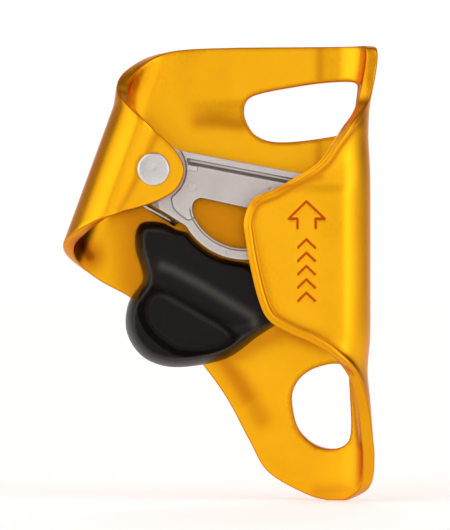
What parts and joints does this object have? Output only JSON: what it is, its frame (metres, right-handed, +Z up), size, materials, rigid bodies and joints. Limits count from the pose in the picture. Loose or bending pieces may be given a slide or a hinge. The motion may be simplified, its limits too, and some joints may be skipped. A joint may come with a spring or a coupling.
{
  "type": "chest ascender",
  "caption": "Rope clamp with a folded sheet-metal frame, a sprung toothed steel cam, a thumb catch and two attachment holes.",
  "frame": {"origin": "on the axis of the rope channel, the centre of its U-shaped fold, level with the cam's axle", "axes": "+Z up the rope, +X towards the closed side of the rope channel, -Y to the front, which is the side the cam and catch are worked from"},
  "size_m": [0.079, 0.0222, 0.1144],
  "materials": {
    "anodised_sheet": "satin gold anodised",
    "cam_steel": "satin tumbled steel",
    "rivet_steel": "bright, face-turned",
    "washer_steel": "plain bright",
    "spring_steel": "drawn wire",
    "catch_plastic": "satin moulded black"
  },
  "bodies": {
    "frame": {"frame": "anodised_sheet", "axle_rivet": "rivet_steel", "rear_washer": "washer_steel", "axle_sleeve": "washer_steel", "front_thrust_washer": "washer_steel", "rear_thrust_washer": "washer_steel"},
    "cam": {"cam": "cam_steel", "cam_spring": "spring_steel", "spring_anchor_pin": "rivet_steel", "catch_spring_post": "rivet_steel"},
    "catch": {"safety_catch": "catch_plastic", "catch_pin": "rivet_steel", "catch_spring": "spring_steel"}
  },
  "joints": [
    {"name": "cam_pivot", "type": "hinge", "parent": "frame", "child": "cam", "pos_m": [-0.0451, 0, 0], "axis": [0, 1, 0], "range_deg": [0, 28], "stiffness_Nm_per_rad": 0.12, "springref_deg": -34.38, "deforming": ["cam_spring"]},
    {"name": "catch_pivot", "type": "hinge", "parent": "cam", "child": "catch", "pos_m": [-0.0096, 0, -0.0305], "axis": [0, 1, 0], "range_deg": [-12, 0], "stiffness_Nm_per_rad": 0.05, "springref_deg": 28.65, "deforming": ["catch_spring"]}
  ]
}
